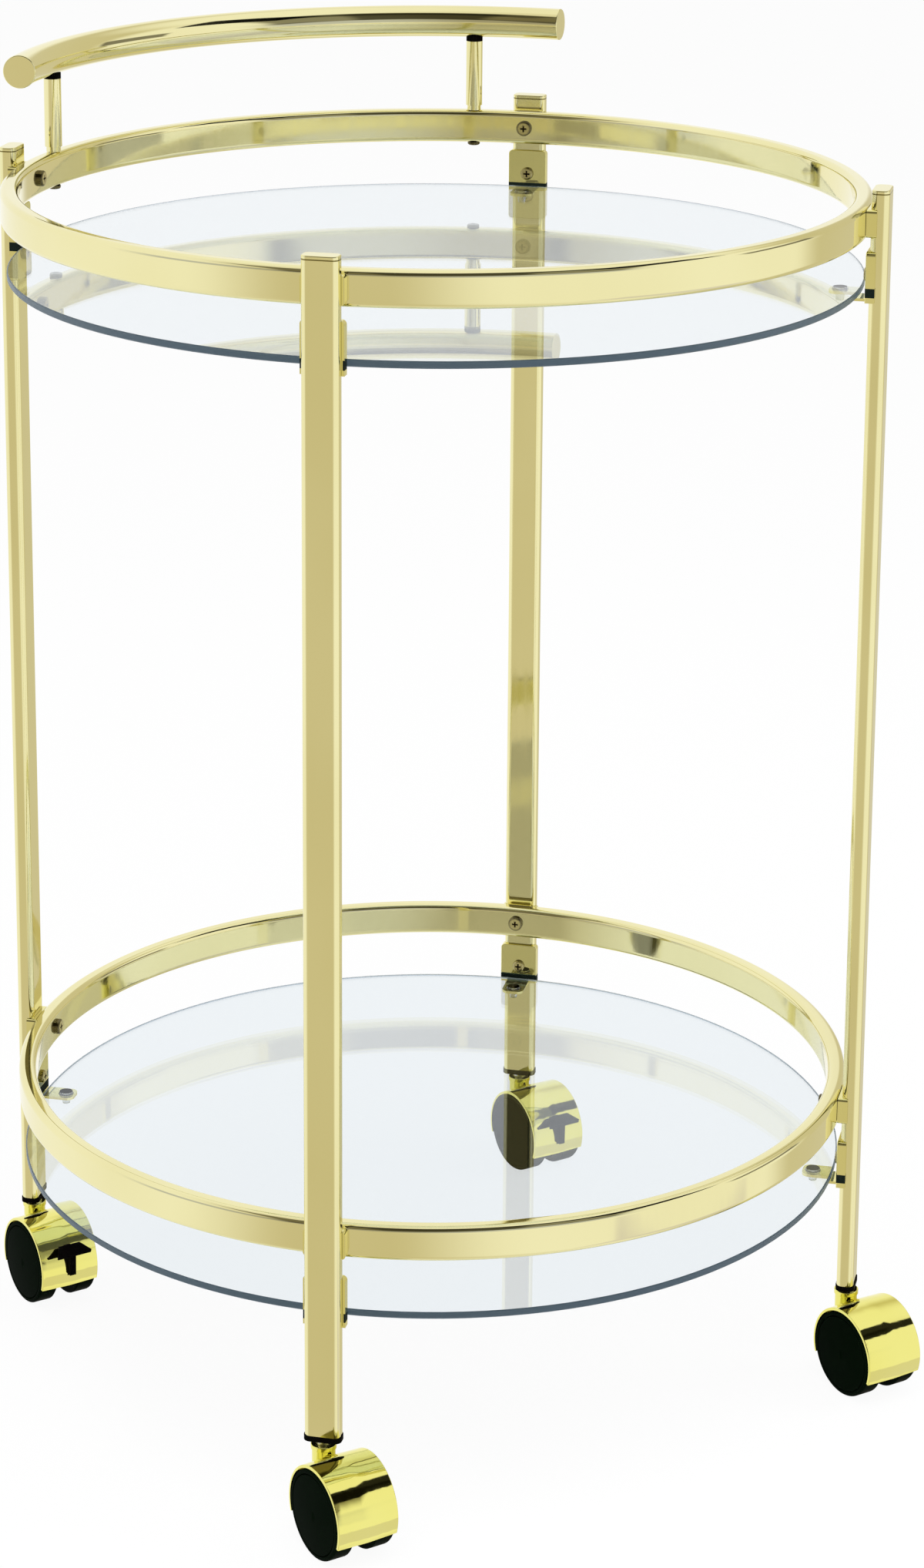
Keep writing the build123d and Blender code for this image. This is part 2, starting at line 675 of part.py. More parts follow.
# Brake lever: pedal and rib outside the hood, arm in the web, bar across both wheel cups
with BuildPart() as brake_lever:
    bar_centre = brake_places()[0]
    rib_radius = hood_radius + brake_rib_height
    pedal_root = Vector(*polar(hood_radius + pedal_stand_off + pedal_thickness / 2, pedal_angle))
    pedal_run = Vector(*polar(pedal_length, -pedal_slope))
    rib_top_rear = pedal_root + pedal_run.normalized() * brake_rib_rear_inset
    rib_top_front = pedal_root + pedal_run.normalized() * (pedal_length - brake_rib_front_inset)
    with BuildSketch(caster_side):
        with Locations(brake_pivot):
            Circle(brake_eye_radius)
        with BuildLine():
            Polyline(
                (brake_pivot[0], brake_pivot[1] - brake_eye_radius),
                polar(rib_radius, brake_rib_low_angle),
                (rib_top_front.X, rib_top_front.Y),
                (rib_top_rear.X, rib_top_rear.Y),
                polar(hood_radius + brake_slot_gap, brake_rib_high_angle),
                polar(hood_inner_radius - brake_slot_gap, brake_rib_high_angle),
                (bar_centre.X + brake_bar_radius, bar_centre.Y),
                (bar_centre.X - brake_bar_radius, bar_centre.Y),
                (brake_pivot[0] - brake_eye_radius, brake_pivot[1]),
                close=True,
            )
        make_face()
        with Locations(brake_pivot):
            Circle(brake_pin_radius + running_clearance, mode=Mode.SUBTRACT)
    extrude(amount=brake_arm_width / 2, both=True)
    with BuildSketch(caster_side):
        with Locations((bar_centre.X, bar_centre.Y)):
            Circle(brake_bar_radius)
    extrude(amount=brake_bar_reach, both=True)
    pedal_origin = caster_side.from_local_coords(pedal_root)
    pedal_way = caster_side.from_local_coords(pedal_root + pedal_run) - pedal_origin
    pedal_top = Plane(pedal_origin, x_dir=pedal_way, z_dir=pedal_way.cross(caster_side.z_dir))
    with BuildSketch(pedal_top) as pedal:
        with BuildLine():
            Polyline(
                (0, -pedal_rear_width / 2),
                (pedal_length, -pedal_front_width / 2),
                (pedal_length, pedal_front_width / 2),
                (0, pedal_rear_width / 2),
                close=True,
            )
        make_face()
        fillet(pedal.vertices(), radius=pedal_round)
    extrude(amount=pedal_thickness / 2, both=True)

# Pin that the lever turns on
with BuildPart() as brake_pin:
    with BuildSketch(caster_side):
        with Locations(brake_pivot):
            Circle(brake_pin_radius)
    extrude(amount=web_thickness / 2, both=True)

hoods = {"front": caster_hood(braked=False), "rear": caster_hood(braked=True)}
for corner, angle in leg_angles.items():
    place = Location((*polar(leg_radius, angle), 0))
    end = corner.split("_")[0]
    save(stem.part, f"{corner}_caster_stem", place)
    save(hoods[end], f"{corner}_caster_hood", place)
    save(axle.part, f"{corner}_caster_axle", place)
    save(wheel.part, f"{corner}_caster_wheel_right", place)
    save(mirror(wheel.part, about=Plane.YZ), f"{corner}_caster_wheel_left", place)
    if end == "rear":
        save(brake_lever.part, f"{corner}_brake_lever", place)
        save(brake_pin.part, f"{corner}_brake_pin", place)
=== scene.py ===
"""Finishes and studio for a round two-tier bar cart: pale gold plate, clear glass shelves, hooded casters.

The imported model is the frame. Every operator dresses or models one group of pieces on it, in metres.
"""

import json
import math

import bpy
from bpy.props import FloatProperty, FloatVectorProperty, IntProperty, PointerProperty
from bpy.types import Operator, Panel, PropertyGroup
from mathutils import Matrix, Vector


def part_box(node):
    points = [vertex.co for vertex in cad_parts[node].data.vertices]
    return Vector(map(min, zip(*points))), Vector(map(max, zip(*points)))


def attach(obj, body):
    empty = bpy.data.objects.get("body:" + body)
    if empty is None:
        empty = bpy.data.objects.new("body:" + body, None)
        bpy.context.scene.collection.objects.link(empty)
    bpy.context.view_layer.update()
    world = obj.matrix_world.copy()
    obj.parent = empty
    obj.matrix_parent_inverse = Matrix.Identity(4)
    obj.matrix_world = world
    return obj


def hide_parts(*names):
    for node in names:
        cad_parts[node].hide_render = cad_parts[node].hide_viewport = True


bl_info = {
    "name": "Round Bar Cart",
    "version": (1, 0, 0),
    "blender": (4, 5, 0),
    "location": "3D View > Sidebar > Cart",
    "description": "Dresses a round glass bar cart and sets its studio",
    "category": "Object",
}

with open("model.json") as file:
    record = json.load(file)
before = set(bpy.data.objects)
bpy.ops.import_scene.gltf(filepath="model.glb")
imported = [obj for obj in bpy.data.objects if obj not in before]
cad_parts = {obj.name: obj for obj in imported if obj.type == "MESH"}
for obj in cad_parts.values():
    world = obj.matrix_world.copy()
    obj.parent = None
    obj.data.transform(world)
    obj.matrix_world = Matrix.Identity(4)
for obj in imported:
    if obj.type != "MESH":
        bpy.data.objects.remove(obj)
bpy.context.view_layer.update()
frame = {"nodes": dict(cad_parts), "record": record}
slot_of_node = {s["node"]: s["material_slot"] for s in frame["record"]["subparts"]}
body_of_node = {n: body for body, nodes in frame["record"]["behaviour"]["bodies"].items() for n in nodes}
glass_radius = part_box("upper_glass_shelf")[1].x
rail_outer_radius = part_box("upper_rail")[1].x
leg_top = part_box("front_left_leg")[1].z
POLISHED = [
    n for n in frame["nodes"] if n.endswith(("_leg", "_caster_hood")) or n.startswith("handle_post")
]

# Cards hung in the dome: turn from the camera, rise, half width, half height and softness in degrees, and
# the colour that each leaves of the white behind it
DOME_CARDS = (
    (-24, -8, 11, 42, 31, (0.68, 0.63, 0.49)),
    (140, -8, 20, 42, 12, (0.68, 0.64, 0.50)),
    (6, 45, 40, 22, 5, (0.27, 0.26, 0.22)),
    (6, 43, 15, 20, 5, (0.32, 0.32, 0.30)),
    (12, 61, 28, 6, 4, (0.40, 0.40, 0.36)),
    (100, 10, 12, 6, 3, (0.25, 0.24, 0.22)),
    (74, 48.5, 15, 8.5, 2, (0.02, 0.02, 0.02)),
    (74, -38, 19, 10, 2, (0.80, 0.78, 0.88)),
    (-15, 11, 57, 7, 8, (0.58, 0.60, 0.72)),
)

# Softboxes: place, width and height, and the studio value that holds the power
SOFTBOXES = {
    "overhead_softbox": ((-0.6, -0.8, 2.6), (2.4, 2.4), "key_power"),
    "side_softbox": ((1.9, -1.2, 1.5), (1.0, 1.8), "fill_power"),
}
SOFTBOX_AIM = (0, 0, 0.4)
FLOOR_SIDES = 96
SENSOR_LONG_SIDE = 36

# Pan heads of the screws that face the cart's axis: head radius, reach of the cross recess, and the rim
# where a painted shade sets in
PAN_HEAD_RADII = {"rail_screws": 0.0046, "clip_screws": 0.0039}
RECESS_HALF_LENGTH, RECESS_HALF_WIDTH = 0.0020, 0.0005
HEAD_RIM_START, HEAD_RIM_END, HEAD_RIM_SHADE = 0.0031, 0.0042, 0.8

# Seam of a leg cap: its middle above the tube's end, and half its height
SEAM_RISE, SEAM_HALF_HEIGHT = 0.0003, 0.0004

# Ground edge of the glass: depths inside the pane's radius where it starts and is full, and its roughness
GROUND_START, GROUND_FULL, GROUND_ROUGHNESS = 0.0008, 0.0005, 0.4

# Relief of the plate's waves and of the plastic's grain, and the plastic's weak gleam
PLATE_WAVINESS, GRAIN_RELIEF, PLASTIC_GLEAM = 0.00003, 0.00002, 0.003

# Gaps that are merged and edges that stay sharp, on swept tubes and on polished skins
SWEEP_MERGE, SWEEP_EDGE = 0.00001, math.radians(30)
SKIN_MERGE, SKIN_EDGE = 0.000001, math.radians(35)

# Colour sockets of a mix node: its two inputs and its output
COLOR_A, COLOR_B, COLOR_MIX = 6, 7, 2


def color_property(name, description, default):
    """A colour that the sidebar shows, in linear values."""
    return FloatVectorProperty(
        name=name, description=description, default=default, subtype="COLOR", min=0, max=1
    )


class CartTubes(PropertyGroup):
    """Sizes of the bent tubes."""

    depth: FloatProperty(
        name="Tube depth", description="Rail tube across its narrow side", default=0.010, unit="LENGTH"
    )
    corner: FloatProperty(
        name="Tube corner", description="Corner radius of the rail tube", default=0.0035, unit="LENGTH"
    )
    handle_half_angle: FloatProperty(
        name="Handle half angle", description="Half of the handle's bend about the cart's axis",
        default=math.radians(49.6), subtype="ANGLE",
    )
    corner_steps: IntProperty(
        name="Corner steps", description="Facets round a tube corner", default=10, min=1
    )
    ring_steps: IntProperty(
        name="Ring steps", description="Facets round a whole rail", default=288, min=24
    )
    handle_sides: IntProperty(
        name="Handle sides", description="Facets round the handle tube", default=64, min=8
    )


class CartFinishes(PropertyGroup):
    """Colours of the cart's plating, glass and plastics."""

    plate: color_property("Plate", "Pale gold plate of tubes, posts and caps", (0.875, 0.82, 0.46))
    plate_deep: color_property("Plate, deep", "Deeper tone that drifts in the plate", (0.835, 0.775, 0.41))
    clip: color_property("Clip", "Yellower plate of the clips and saddles", (0.865, 0.805, 0.38))
    clip_deep: color_property("Clip, deep", "Deeper tone of the clips and saddles", (0.81, 0.745, 0.29))
    hood: color_property("Hood", "Yellow gold plate of the caster hoods", (0.885, 0.84, 0.27))
    hood_deep: color_property("Hood, deep", "Deeper tone of the hoods' plate", (0.84, 0.78, 0.18))
    screw: color_property("Screw", "Bronzed plate of the screw heads", (0.74, 0.66, 0.33))
    screw_deep: color_property("Screw, deep", "Deeper tone of the screw heads", (0.50, 0.43, 0.19))
    # Painted shade: what the screws keep of their tone in the cross recesses, over the rims and on the post
    # screws
    recess: color_property("Recess shade", "What a recess leaves of a screw's tone", (0.03, 0.02, 0.02))
    seam: color_property("Seam shade", "What a cap's seam leaves of its tone", (0.25, 0.22, 0.12))
    steel: color_property("Steel", "Zinc-plated stems, axles and pins", (0.66, 0.65, 0.62))
    steel_deep: color_property("Steel, deep", "Duller tone of the zinc", (0.52, 0.51, 0.49))
    glass: color_property("Glass", "Faint cool tint through a shelf", (0.84, 0.885, 0.915))
    glass_gleam: color_property("Glass gleam", "Cool tone of what a shelf mirrors", (0.80, 0.90, 1.0))
    glass_rim: color_property("Glass rim", "Dark slate of the ground edge", (0.30, 0.40, 0.48))
    # Painted glow: emission on the ground edge, though the pane is no lamp
    painted_edge_glow: color_property("Glass edge light", "Light piped to a shelf's edge", (0.035, 0.060, 0.082))
    pad: color_property("Pad", "Dark green-black soft pad", (0.012, 0.018, 0.014))
    pad_bloom: color_property("Pad bloom", "Dusty tone that drifts over the pads", (0.03, 0.04, 0.03))
    plastic: color_property("Plastic", "Black moulded plastic", (0.004, 0.003, 0.003))
    wheel: color_property("Wheel", "Black nylon of the wheels", (0.0015, 0.0045, 0.0015))
    bloom: color_property("Plastic bloom", "Tone that drifts over plastic and nylon", (0.004, 0.007, 0.004))
    bumper: color_property("Bumper", "Clear soft bumpers", (0.86, 0.89, 0.88))
    bumper_deep: color_property("Bumper, deep", "Cloudier tone in the bumpers", (0.688, 0.712, 0.704))


class CartStudio(PropertyGroup):
    """Camera, floor and lights."""

    camera_place: FloatVectorProperty(
        name="Camera", description="Where the camera stands", default=(-1.1556, -1.8717, 1.1169),
        subtype="XYZ", unit="LENGTH",
    )
    camera_azimuth: FloatProperty(
        name="Azimuth", description="Camera's turn about the cart, from the front",
        default=math.radians(-32.087), subtype="ANGLE",
    )
    camera_elevation: FloatProperty(
        name="Elevation", description="Camera's tilt above the horizon",
        default=math.radians(14.433), subtype="ANGLE",
    )
    camera_roll: FloatProperty(
        name="Roll", description="Camera's turn about its own axis",
        default=math.radians(0.39), subtype="ANGLE",
    )
    camera_lens: FloatProperty(
        name="Lens", description="Focal length for a 36 mm long side", default=91.75, unit="CAMERA"
    )
    camera_shift: FloatProperty(
        name="Shift", description="Lens shift that keeps the legs near upright", default=-0.22
    )
    floor_radius: FloatProperty(
        name="Floor", description="Radius of the pale floor", default=14.0, unit="LENGTH"
    )
    floor_color: color_property("Floor colour", "Pale paint of the floor", (0.95, 0.95, 0.95))
    floor_glow: FloatProperty(
        name="Floor glow", description="Share of the floor that shows as plain white",
        default=0.94, subtype="FACTOR",
    )
    dome_strength: FloatProperty(name="Dome", description="Light from the white studio dome", default=0.55)
    key_power: FloatProperty(
        name="Key", description="Power of the overhead softbox", default=55.0, unit="POWER"
    )
    fill_power: FloatProperty(
        name="Fill", description="Power of the side softbox", default=22.0, unit="POWER"
    )


def add_node(tree, kind, **values):
    """A shader node with its settings and unlinked inputs filled in."""
    node = tree.nodes.new(kind)
    for key, value in values.items():
        if key in node.inputs.keys():
            node.inputs[key].default_value = value
        else:
            setattr(node, key, value)
    return node


def math_value(tree, operation, *values):
    """Result of a math node whose inputs are numbers, which are set, or sockets, which are linked."""
    node = add_node(tree, "ShaderNodeMath", operation=operation)
    for socket, value in zip(node.inputs, values):
        if isinstance(value, (int, float)):
            socket.default_value = value
        else:
            tree.links.new(value, socket)
    return node.outputs["Value"]


def new_group(name, inputs, outputs):
    """An empty shader node group with its sockets, its input node and its output node."""
    tree = bpy.data.node_groups.new(name, "ShaderNodeTree")
    for socket, kind in inputs:
        tree.interface.new_socket(socket, in_out="INPUT", socket_type=kind)
    for socket, kind in outputs:
        tree.interface.new_socket(socket, in_out="OUTPUT", socket_type=kind)
    return tree, tree.nodes.new("NodeGroupInput"), tree.nodes.new("NodeGroupOutput")


def plating_group():
    """Polished plate: slow drift of tone, faint wipe marks in the gloss and slightly wavy metal."""
    name = "polished_plate"
    if name in bpy.data.node_groups:
        return bpy.data.node_groups[name]
    tree, given, result = new_group(
        name,
        [
            ("Vector", "NodeSocketVector"),
            ("Plate", "NodeSocketColor"),
            ("Deep", "NodeSocketColor"),
            ("Gloss Low", "NodeSocketFloat"),
            ("Gloss High", "NodeSocketFloat"),
        ],
        [("Color", "NodeSocketColor"), ("Roughness", "NodeSocketFloat"), ("Height", "NodeSocketFloat")],
    )
    link = tree.links.new
    drift = add_node(tree, "ShaderNodeTexNoise", Scale=9.0, Detail=2.0)
    drift_range = add_node(tree, "ShaderNodeMapRange", **{"From Min": 0.35, "From Max": 0.7})
    tone = add_node(tree, "ShaderNodeMix", data_type="RGBA")
    stretch = add_node(tree, "ShaderNodeMapping", Scale=(1.0, 1.0, 0.12))
    wipes = add_node(tree, "ShaderNodeTexNoise", Scale=260.0, Detail=4.0, Roughness=0.6)
    wipe_range = add_node(tree, "ShaderNodeMapRange", **{"From Min": 0.3, "From Max": 0.75})
    waves = add_node(tree, "ShaderNodeTexNoise", Scale=45.0, Detail=1.0)
    link(given.outputs["Vector"], drift.inputs["Vector"])
    link(drift.outputs["Fac"], drift_range.inputs["Value"])
    link(drift_range.outputs["Result"], tone.inputs["Factor"])
    link(given.outputs["Plate"], tone.inputs[COLOR_A])
    link(given.outputs["Deep"], tone.inputs[COLOR_B])
    link(tone.outputs[COLOR_MIX], result.inputs["Color"])
    link(given.outputs["Vector"], stretch.inputs["Vector"])
    link(stretch.outputs["Vector"], wipes.inputs["Vector"])
    link(wipes.outputs["Fac"], wipe_range.inputs["Value"])
    link(given.outputs["Gloss Low"], wipe_range.inputs["To Min"])
    link(given.outputs["Gloss High"], wipe_range.inputs["To Max"])
    link(wipe_range.outputs["Result"], result.inputs["Roughness"])
    link(given.outputs["Vector"], waves.inputs["Vector"])
    link(waves.outputs["Fac"], result.inputs["Height"])
    return tree


def screw_heights():
    """Heights of the rail and clip screws' axes, the lower and the upper row of each."""
    for node, head_radius in PAN_HEAD_RADII.items():
        low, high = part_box(node)
        yield low.z + head_radius
        yield high.z - head_radius


def screw_painted_shade_group():
    """Mask of the painted shade in the cross recesses and on the rims of the pan heads at the legs.

    All else of a screw, the post screws too, has the rim's painted shade.
    """
    name = "pan_head_marks"
    if name in bpy.data.node_groups:
        return bpy.data.node_groups[name]
    tree, given, result = new_group(name, [("Vector", "NodeSocketVector")], [("Mask", "NodeSocketFloat")])
    axes = tree.nodes.new("ShaderNodeSeparateXYZ")
    tree.links.new(given.outputs["Vector"], axes.inputs["Vector"])
    along_x = math_value(tree, "ABSOLUTE", axes.outputs["X"])
    along_y = math_value(tree, "ABSOLUTE", axes.outputs["Y"])
    spread = math_value(tree, "SUBTRACT", along_y, along_x)
    aside = math_value(tree, "ABSOLUTE", math_value(tree, "MULTIPLY", spread, math.sqrt(0.5)))
    rise = 1.0
    for height in screw_heights():
        offset = math_value(tree, "SUBTRACT", axes.outputs["Z"], height)
        rise = math_value(tree, "MINIMUM", rise, math_value(tree, "ABSOLUTE", offset))
    near = math_value(tree, "MINIMUM", aside, rise)
    far = math_value(tree, "MAXIMUM", aside, rise)
    thin = math_value(tree, "LESS_THAN", near, RECESS_HALF_WIDTH)
    short = math_value(tree, "LESS_THAN", far, RECESS_HALF_LENGTH)
    cross = math_value(tree, "MULTIPLY", thin, short)
    squares = [math_value(tree, "POWER", length, 2) for length in (aside, rise)]
    reach = math_value(tree, "SQRT", math_value(tree, "ADD", *squares))
    rim = add_node(
        tree, "ShaderNodeMapRange",
        **{"From Min": HEAD_RIM_START, "From Max": HEAD_RIM_END, "To Max": HEAD_RIM_SHADE},
    )
    tree.links.new(reach, rim.inputs["Value"])
    tree.links.new(math_value(tree, "MAXIMUM", cross, rim.outputs["Result"]), result.inputs["Mask"])
    return tree


def darken(material, mask_group, shade):
    """Lay a darker shade over a material's colour where a mask says so."""
    tree = material.node_tree
    shader = next(n for n in tree.nodes if n.type == "BSDF_PRINCIPLED")
    place = next(n for n in tree.nodes if n.type == "TEX_COORD")
    marks = add_node(tree, "ShaderNodeGroup", node_tree=mask_group)
    shaded = add_node(tree, "ShaderNodeMix", data_type="RGBA", blend_type="MULTIPLY")
    shaded.inputs[COLOR_B].default_value = (*shade, 1)
    plain = shader.inputs["Base Color"].links[0].from_socket
    tree.links.new(place.outputs["Object"], marks.inputs["Vector"])
    tree.links.new(marks.outputs["Mask"], shaded.inputs["Factor"])
    tree.links.new(plain, shaded.inputs[COLOR_A])
    tree.links.new(shaded.outputs[COLOR_MIX], shader.inputs["Base Color"])
    return material


def cap_seam_group():
    """Mask of the dark seam where a leg cap sits on its tube."""
    name = "cap_seam"
    if name in bpy.data.node_groups:
        return bpy.data.node_groups[name]
    tree, given, result = new_group(name, [("Vector", "NodeSocketVector")], [("Mask", "NodeSocketFloat")])
    axes = tree.nodes.new("ShaderNodeSeparateXYZ")
    tree.links.new(given.outputs["Vector"], axes.inputs["Vector"])
    seam = math_value(tree, "COMPARE", axes.outputs["Z"], leg_top + SEAM_RISE, SEAM_HALF_HEIGHT)
    tree.links.new(seam, result.inputs["Mask"])
    return tree


def moulding_group():
    """Moulded plastic: fine spark-eroded grain, slow drift of tone and uneven sheen."""
    name = "moulded_grain"
    if name in bpy.data.node_groups:
        return bpy.data.node_groups[name]
    tree, given, result = new_group(
        name,
        [("Vector", "NodeSocketVector"), ("Base", "NodeSocketColor"), ("Bloom", "NodeSocketColor")],
        [("Color", "NodeSocketColor"), ("Roughness", "NodeSocketFloat"), ("Height", "NodeSocketFloat")],
    )
    link = tree.links.new
    bloom = add_node(tree, "ShaderNodeTexNoise", Scale=70.0, Detail=5.0)
    bloom_range = add_node(tree, "ShaderNodeMapRange", **{"From Min": 0.45, "From Max": 0.8, "To Max": 0.6})
    tone = add_node(tree, "ShaderNodeMix", data_type="RGBA")
    sheen = add_node(tree, "ShaderNodeMapRange", **{"To Min": 0.28, "To Max": 0.46})
    grain = add_node(tree, "ShaderNodeTexNoise", Scale=2600.0, Detail=2.0)
    link(given.outputs["Vector"], bloom.inputs["Vector"])
    link(bloom.outputs["Fac"], bloom_range.inputs["Value"])
    link(bloom_range.outputs["Result"], tone.inputs["Factor"])
    link(given.outputs["Base"], tone.inputs[COLOR_A])
    link(given.outputs["Bloom"], tone.inputs[COLOR_B])
    link(tone.outputs[COLOR_MIX], result.inputs["Color"])
    link(bloom.outputs["Fac"], sheen.inputs["Value"])
    link(sheen.outputs["Result"], result.inputs["Roughness"])
    link(given.outputs["Vector"], grain.inputs["Vector"])
    link(grain.outputs["Fac"], result.inputs["Height"])
    return tree


def new_material(name):
    """A material with its tree, its principled shader and an object coordinate node."""
    material = bpy.data.materials.new(name)
    material.use_nodes = True
    tree = material.node_tree
    shader = next(n for n in tree.nodes if n.type == "BSDF_PRINCIPLED")
    place = tree.nodes.new("ShaderNodeTexCoord")
    return material, tree, shader, place


def link_surface(tree, shader, place, group, relief):
    """Feed a surface group's colour, roughness and relief into a shader."""
    link = tree.links.new
    link(place.outputs["Object"], group.inputs["Vector"])
    link(group.outputs["Color"], shader.inputs["Base Color"])
    link(group.outputs["Roughness"], shader.inputs["Roughness"])
    bump = add_node(tree, "ShaderNodeBump", Strength=1.0, Distance=relief)
    link(group.outputs["Height"], bump.inputs["Height"])
    link(bump.outputs["Normal"], shader.inputs["Normal"])


def plated(name, plate, deep, gloss=(0.03, 0.10)):
    """Polished plated metal."""
    material, tree, shader, place = new_material(name)
    shader.inputs["Metallic"].default_value = 1.0
    group = add_node(tree, "ShaderNodeGroup", node_tree=plating_group())
    group.inputs["Plate"].default_value = (*plate, 1)
    group.inputs["Deep"].default_value = (*deep, 1)
    group.inputs["Gloss Low"].default_value = gloss[0]
    group.inputs["Gloss High"].default_value = gloss[1]
    link_surface(tree, shader, place, group, PLATE_WAVINESS)
    return material


def moulded(name, base, bloom):
    """Dark moulded plastic or soft pad."""
    material, tree, shader, place = new_material(name)
    shader.inputs["Specular IOR Level"].default_value = PLASTIC_GLEAM
    group = add_node(tree, "ShaderNodeGroup", node_tree=moulding_group())
    group.inputs["Base"].default_value = (*base, 1)
    group.inputs["Bloom"].default_value = (*bloom, 1)
    link_surface(tree, shader, place, group, GRAIN_RELIEF)
    return material


def dress(slot, material):
    """Give a material to every CAD node of one slot."""
    for node, obj in frame["nodes"].items():
        if slot_of_node[node] == slot:
            obj.material_slots[0].material = material


def begin_profile(name):
    """Name the new tube outline and open it in edit mode, all of it selected."""
    outline = bpy.context.object
    outline.name = outline.data.name = name
    bpy.ops.object.transform_apply(location=True, rotation=True, scale=True)
    bpy.ops.object.mode_set(mode="EDIT")
    bpy.ops.mesh.select_all(action="SELECT")
    return outline


def sweep_profile(steps, angle):
    """Spin the open outline about the cart's axis and close it to a skin that faces outwards."""
    bpy.ops.mesh.delete(type="ONLY_FACE")
    bpy.ops.mesh.select_all(action="SELECT")
    bpy.ops.mesh.spin(steps=steps, angle=angle, center=(0, 0, 0), axis=(0, 0, 1))
    bpy.ops.mesh.select_all(action="SELECT")
    bpy.ops.mesh.remove_doubles(threshold=SWEEP_MERGE)
    bpy.ops.mesh.fill_holes(sides=0)
    bpy.ops.mesh.normals_make_consistent(inside=False)
    bpy.ops.object.mode_set(mode="OBJECT")
    bpy.ops.object.shade_smooth_by_angle(angle=SWEEP_EDGE)


def finish_skin(skin, node):
    """Let the flat sides rule the shading, and stand the skin in for its CAD node, in the same finish."""
    weighted = skin.modifiers.new("flat_sides", "WEIGHTED_NORMAL")
    weighted.weight = 100
    weighted.keep_sharp = True
    bpy.ops.object.modifier_apply(modifier=weighted.name)
    skin.data.materials.clear()
    skin.data.materials.append(frame["nodes"][node].material_slots[0].material)
    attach(skin, body_of_node[node])
    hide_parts(node)


class CART_OT_bend_rails(Operator):
    """Two closed rings of flat-sided tube"""

    bl_idname = "cart.bend_rails"
    bl_label = "Bend the Rails"

    def execute(self, context):
        tubes = context.scene.cart_tubes
        for node in ("upper_rail", "lower_rail"):
            low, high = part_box(node)
            bpy.ops.object.select_all(action="DESELECT")
            bpy.ops.mesh.primitive_plane_add(
                size=1.0,
                location=(rail_outer_radius - tubes.depth / 2, 0, (low.z + high.z) / 2),
                rotation=(math.pi / 2, 0, 0),
            )
            context.object.scale = (tubes.depth, high.z - low.z, 1)
            rail = begin_profile(f"{node}_ring")
            bpy.ops.mesh.bevel(offset=tubes.corner, segments=tubes.corner_steps, affect="VERTICES")
            sweep_profile(tubes.ring_steps, 2 * math.pi)
            finish_skin(rail, node)
        return {"FINISHED"}


class CART_OT_bend_handle(Operator):
    """Round push handle, bent about the cart's axis"""

    bl_idname = "cart.bend_handle"
    bl_label = "Bend the Handle"

    def execute(self, context):
        tubes = context.scene.cart_tubes
        low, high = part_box("handle_tube")
        start = math.pi / 2 + tubes.handle_half_angle
        reach = rail_outer_radius - tubes.depth / 2
        bpy.ops.object.select_all(action="DESELECT")
        bpy.ops.mesh.primitive_circle_add(
            vertices=tubes.handle_sides,
            radius=(high.z - low.z) / 2,
            location=(reach * math.cos(start), reach * math.sin(start), (low.z + high.z) / 2),
            rotation=(math.pi / 2, 0, start),
        )
        handle = begin_profile("handle_bar")
        steps = round(tubes.ring_steps * tubes.handle_half_angle / math.pi)
        sweep_profile(steps, 2 * tubes.handle_half_angle)
        finish_skin(handle, "handle_tube")
        return {"FINISHED"}


class CART_OT_polish_castings(Operator):
    """Hoods, legs and posts whose facets run together into one polished skin"""

    bl_idname = "cart.polish_castings"
    bl_label = "Polish Hoods, Legs and Posts"

    def execute(self, context):
        for node in POLISHED:
            skin = bpy.data.objects.new(f"{node}_skin", frame["nodes"][node].data.copy())
            context.scene.collection.objects.link(skin)
            bpy.ops.object.select_all(action="DESELECT")
            skin.select_set(True)
            context.view_layer.objects.active = skin
            bpy.ops.mesh.customdata_custom_splitnormals_clear()
            bpy.ops.object.mode_set(mode="EDIT")
            bpy.ops.mesh.select_all(action="SELECT")
            bpy.ops.mesh.remove_doubles(threshold=SKIN_MERGE)
            bpy.ops.object.mode_set(mode="OBJECT")
            bpy.ops.object.shade_smooth_by_angle(angle=SKIN_EDGE)
            finish_skin(skin, node)
        return {"FINISHED"}


class CART_OT_plate_frame(Operator):
    """Pale gold plate on the rails, legs, handle, posts, clips, saddles, caps and screws"""

    bl_idname = "cart.plate_frame"
    bl_label = "Plate the Frame"

    def execute(self, context):
        finish = context.scene.cart_finishes
        dress("plated_gold", plated("pale_gold_tube", finish.plate, finish.plate_deep))
        caps = plated("pale_gold_cap", finish.plate, finish.plate_deep)
        dress("cap_gold", darken(caps, cap_seam_group(), finish.seam))
        dress("clip_gold", plated("pale_gold_clip", finish.clip, finish.clip_deep))
        screws = plated("bronzed_screw", finish.screw, finish.screw_deep, gloss=(0.10, 0.22))
        # Painted shade in the screws' cross recesses and over their rims, and all over the post screws
        dress("screw_gold", darken(screws, screw_painted_shade_group(), finish.recess))
        return {"FINISHED"}


